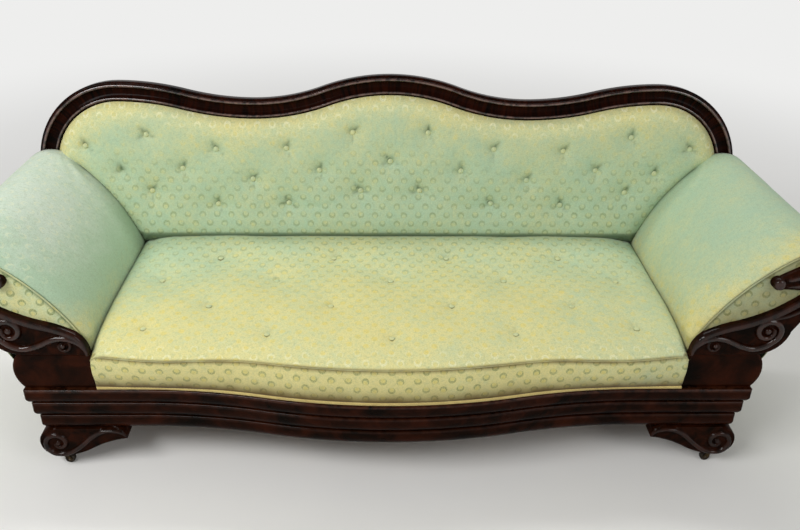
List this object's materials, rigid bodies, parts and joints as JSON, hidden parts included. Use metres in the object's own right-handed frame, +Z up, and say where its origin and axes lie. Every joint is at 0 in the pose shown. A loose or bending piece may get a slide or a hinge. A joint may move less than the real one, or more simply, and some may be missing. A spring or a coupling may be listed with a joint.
{
  "type": "double-ended settee",
  "caption": "Settee with matching scrolled arms, a serpentine crest and rail in carved mahogany, a sprung seat, a buttoned back in sage damask, and swivelling casters.",
  "frame": {"origin": "on the floor under the middle of the settee's bounding box", "axes": "+X along the seat to the sitter's left, +Y from the front to the back, +Z up"},
  "size_m": [2.196, 0.7374, 0.878],
  "materials": {
    "mahogany": "french polished mahogany, worn at the edges",
    "crest_mahogany": "dark french polished mahogany",
    "frame_wood": "bare softwood",
    "damask": "sage green damask with a small crescent figure",
    "gimp": "woven gold braid",
    "lining": "plain sage cover cloth",
    "hessian": "jute cloth",
    "webbing": "jute webbing",
    "steel": "dark steel",
    "brass": "tarnished brass",
    "wheel": "tarnished turned brass"
  },
  "bodies": {
    "settee": {"rail_band_upper": "mahogany", "rail_band_middle": "mahogany", "rail_band_lower": "mahogany", "right_front_foot": "mahogany", "left_front_foot": "mahogany", "right_back_leg": "mahogany", "left_back_leg": "mahogany", "right_arm_stump": "mahogany", "left_arm_stump": "mahogany", "right_arm_facing": "mahogany", "left_arm_facing": "mahogany", "crest_center": "crest_mahogany", "right_crest": "crest_mahogany", "left_crest": "crest_mahogany", "right_back_stile": "crest_mahogany", "left_back_stile": "crest_mahogany", "front_rail_core": "frame_wood", "right_end_rail": "frame_wood", "left_end_rail": "frame_wood", "back_rail": "frame_wood", "corner_blocks": "frame_wood", "back_tacking_rail": "frame_wood", "back_uprights": "frame_wood", "arm_rails": "frame_wood", "arm_lower_rails": "frame_wood", "seat_pad": "damask", "back_pad": "damask", "right_arm_pad": "damask", "left_arm_pad": "damask", "right_arm_front": "damask", "left_arm_front": "damask", "seat_buttons": "damask", "back_buttons": "damask", "seat_welt": "damask", "arm_welts": "damask", "seat_gimp": "gimp", "outside_back": "lining", "right_outside_arm": "lining", "left_outside_arm": "lining", "seat_hessian": "hessian", "back_hessian": "hessian", "seat_webbing": "webbing", "back_webbing": "webbing", "seat_springs": "steel", "caster_screws": "steel", "caster_plates": "brass"},
    "front_left_swivel": {"front_left_caster_horn": "brass", "front_left_caster_axle": "steel"},
    "front_left_wheel": {"front_left_caster_wheel": "wheel"},
    "front_right_swivel": {"front_right_caster_horn": "brass", "front_right_caster_axle": "steel"},
    "front_right_wheel": {"front_right_caster_wheel": "wheel"},
    "back_left_swivel": {"back_left_caster_horn": "brass", "back_left_caster_axle": "steel"},
    "back_left_wheel": {"back_left_caster_wheel": "wheel"},
    "back_right_swivel": {"back_right_caster_horn": "brass", "back_right_caster_axle": "steel"},
    "back_right_wheel": {"back_right_caster_wheel": "wheel"}
  },
  "joints": [
    {"name": "front_left_caster_swivel", "type": "hinge", "parent": "settee", "child": "front_left_swivel", "pos_m": [-0.864, -0.26556, 0.033], "axis": [0, 0, 1], "continuous": true},
    {"name": "front_left_wheel_spin", "type": "hinge", "parent": "front_left_swivel", "child": "front_left_wheel", "pos_m": [-0.853, -0.26556, 0.013], "axis": [0, 1, 0], "continuous": true},
    {"name": "front_right_caster_swivel", "type": "hinge", "parent": "settee", "child": "front_right_swivel", "pos_m": [0.864, -0.26556, 0.033], "axis": [0, 0, 1], "continuous": true},
    {"name": "front_right_wheel_spin", "type": "hinge", "parent": "front_right_swivel", "child": "front_right_wheel", "pos_m": [0.853, -0.26556, 0.013], "axis": [0, 1, 0], "continuous": true},
    {"name": "back_left_caster_swivel", "type": "hinge", "parent": "settee", "child": "back_left_swivel", "pos_m": [-0.864, 0.29344, 0.033], "axis": [0, 0, 1], "continuous": true},
    {"name": "back_left_wheel_spin", "type": "hinge", "parent": "back_left_swivel", "child": "back_left_wheel", "pos_m": [-0.853, 0.29344, 0.013], "axis": [0, 1, 0], "continuous": true},
    {"name": "back_right_caster_swivel", "type": "hinge", "parent": "settee", "child": "back_right_swivel", "pos_m": [0.864, 0.29344, 0.033], "axis": [0, 0, 1], "continuous": true},
    {"name": "back_right_wheel_spin", "type": "hinge", "parent": "back_right_swivel", "child": "back_right_wheel", "pos_m": [0.853, 0.29344, 0.013], "axis": [0, 1, 0], "continuous": true}
  ]
}
